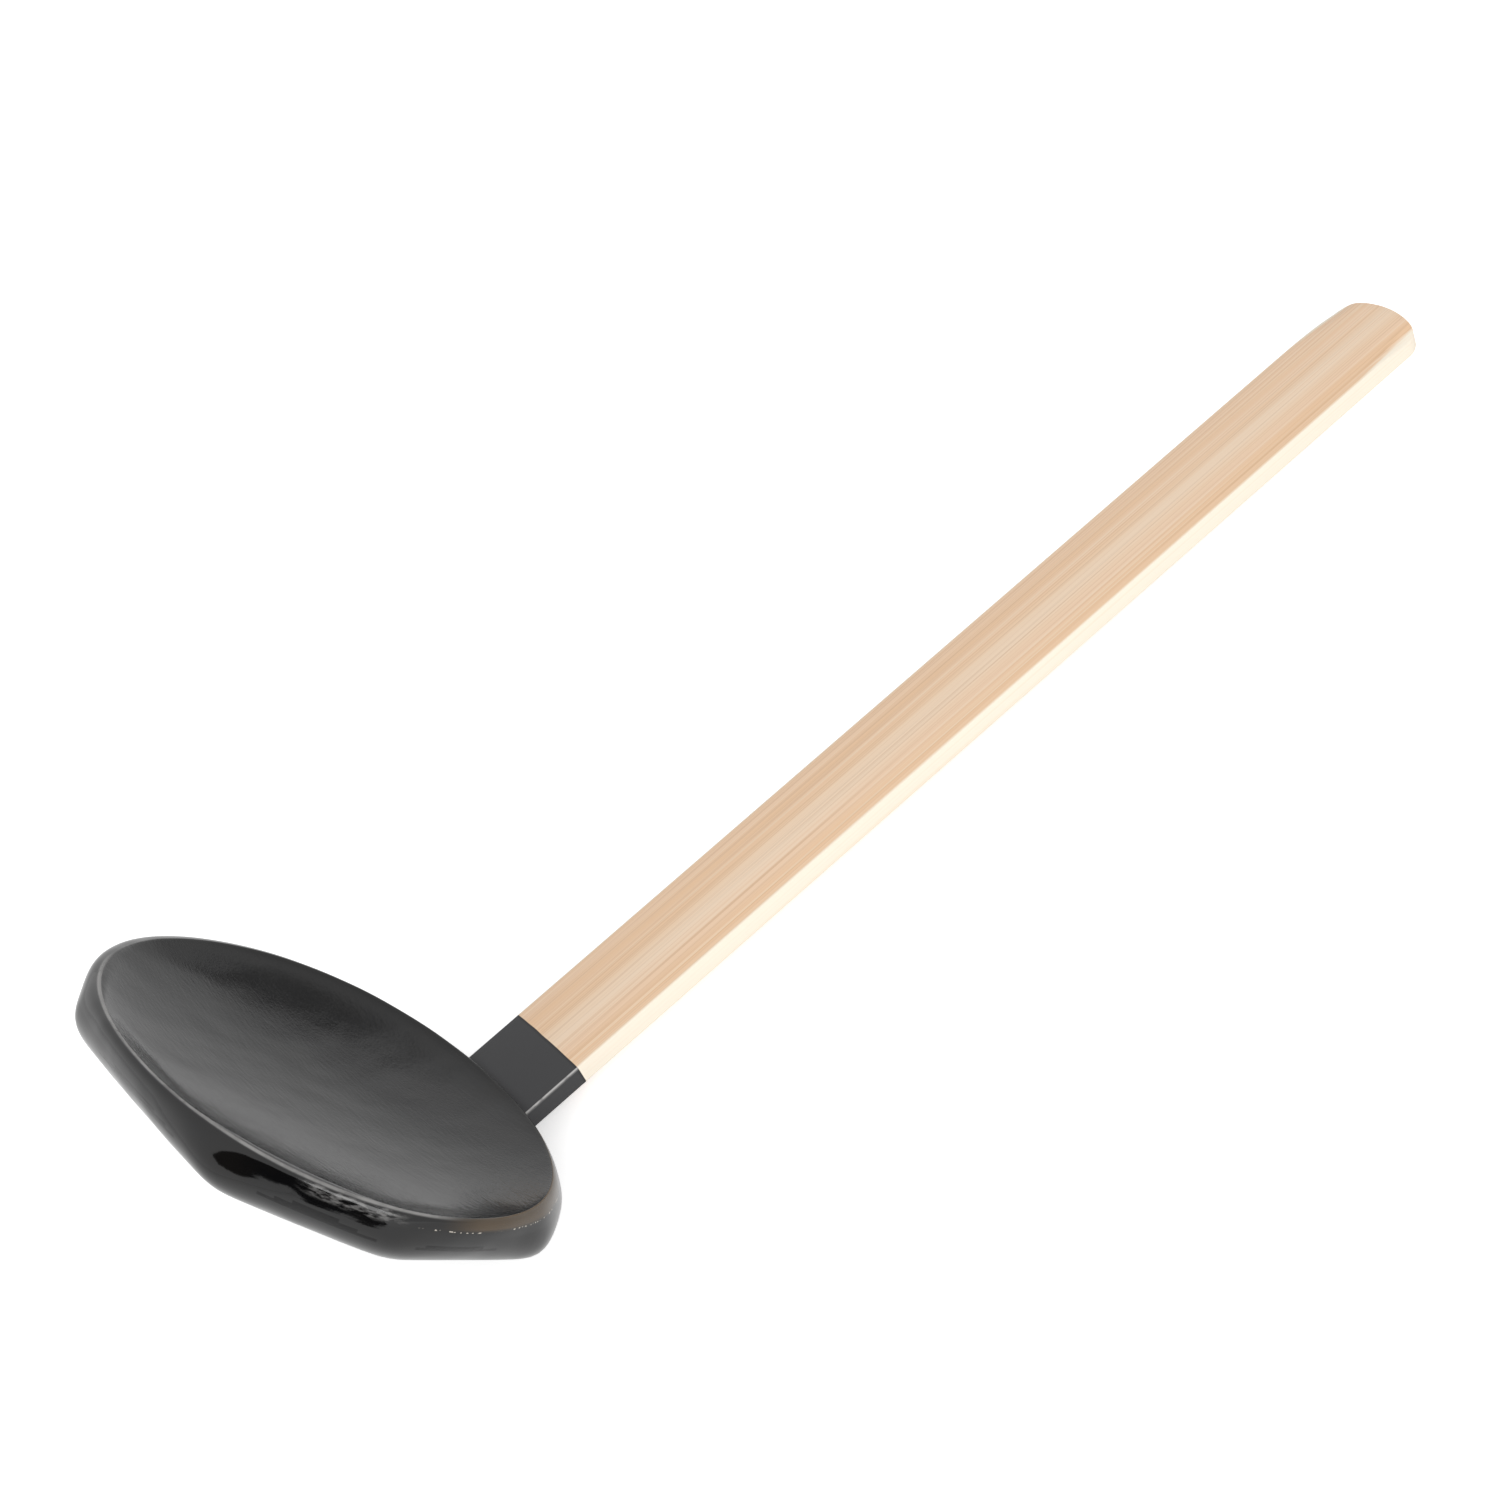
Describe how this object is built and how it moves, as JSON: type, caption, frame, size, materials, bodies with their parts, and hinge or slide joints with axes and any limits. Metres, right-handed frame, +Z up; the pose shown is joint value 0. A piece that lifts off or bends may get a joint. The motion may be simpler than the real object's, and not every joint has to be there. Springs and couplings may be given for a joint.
{
  "type": "ladle",
  "caption": "Small wooden ladle: an oval lacquered dish, faceted outside, on a flat split-bamboo handle let into its heel and pinned there.",
  "frame": {"origin": "middle of the footprint of the ladle lying at rest, on the surface that its heel and its handle's tip touch", "axes": "+Y along the handle from the bowl towards the tip, +Z up from the surface it lies on, +X across the handle"},
  "size_m": [0.09, 0.2546, 0.0626],
  "materials": {
    "black_lacquer": "gloss black lacquer over carved wood",
    "bamboo": "bare split bamboo, its first stretch painted matte black",
    "peg_bamboo": "bare bamboo"
  },
  "bodies": {
    "root": {"bowl": "black_lacquer", "handle": "bamboo", "tenon_peg": "peg_bamboo"}
  },
  "joints": []
}
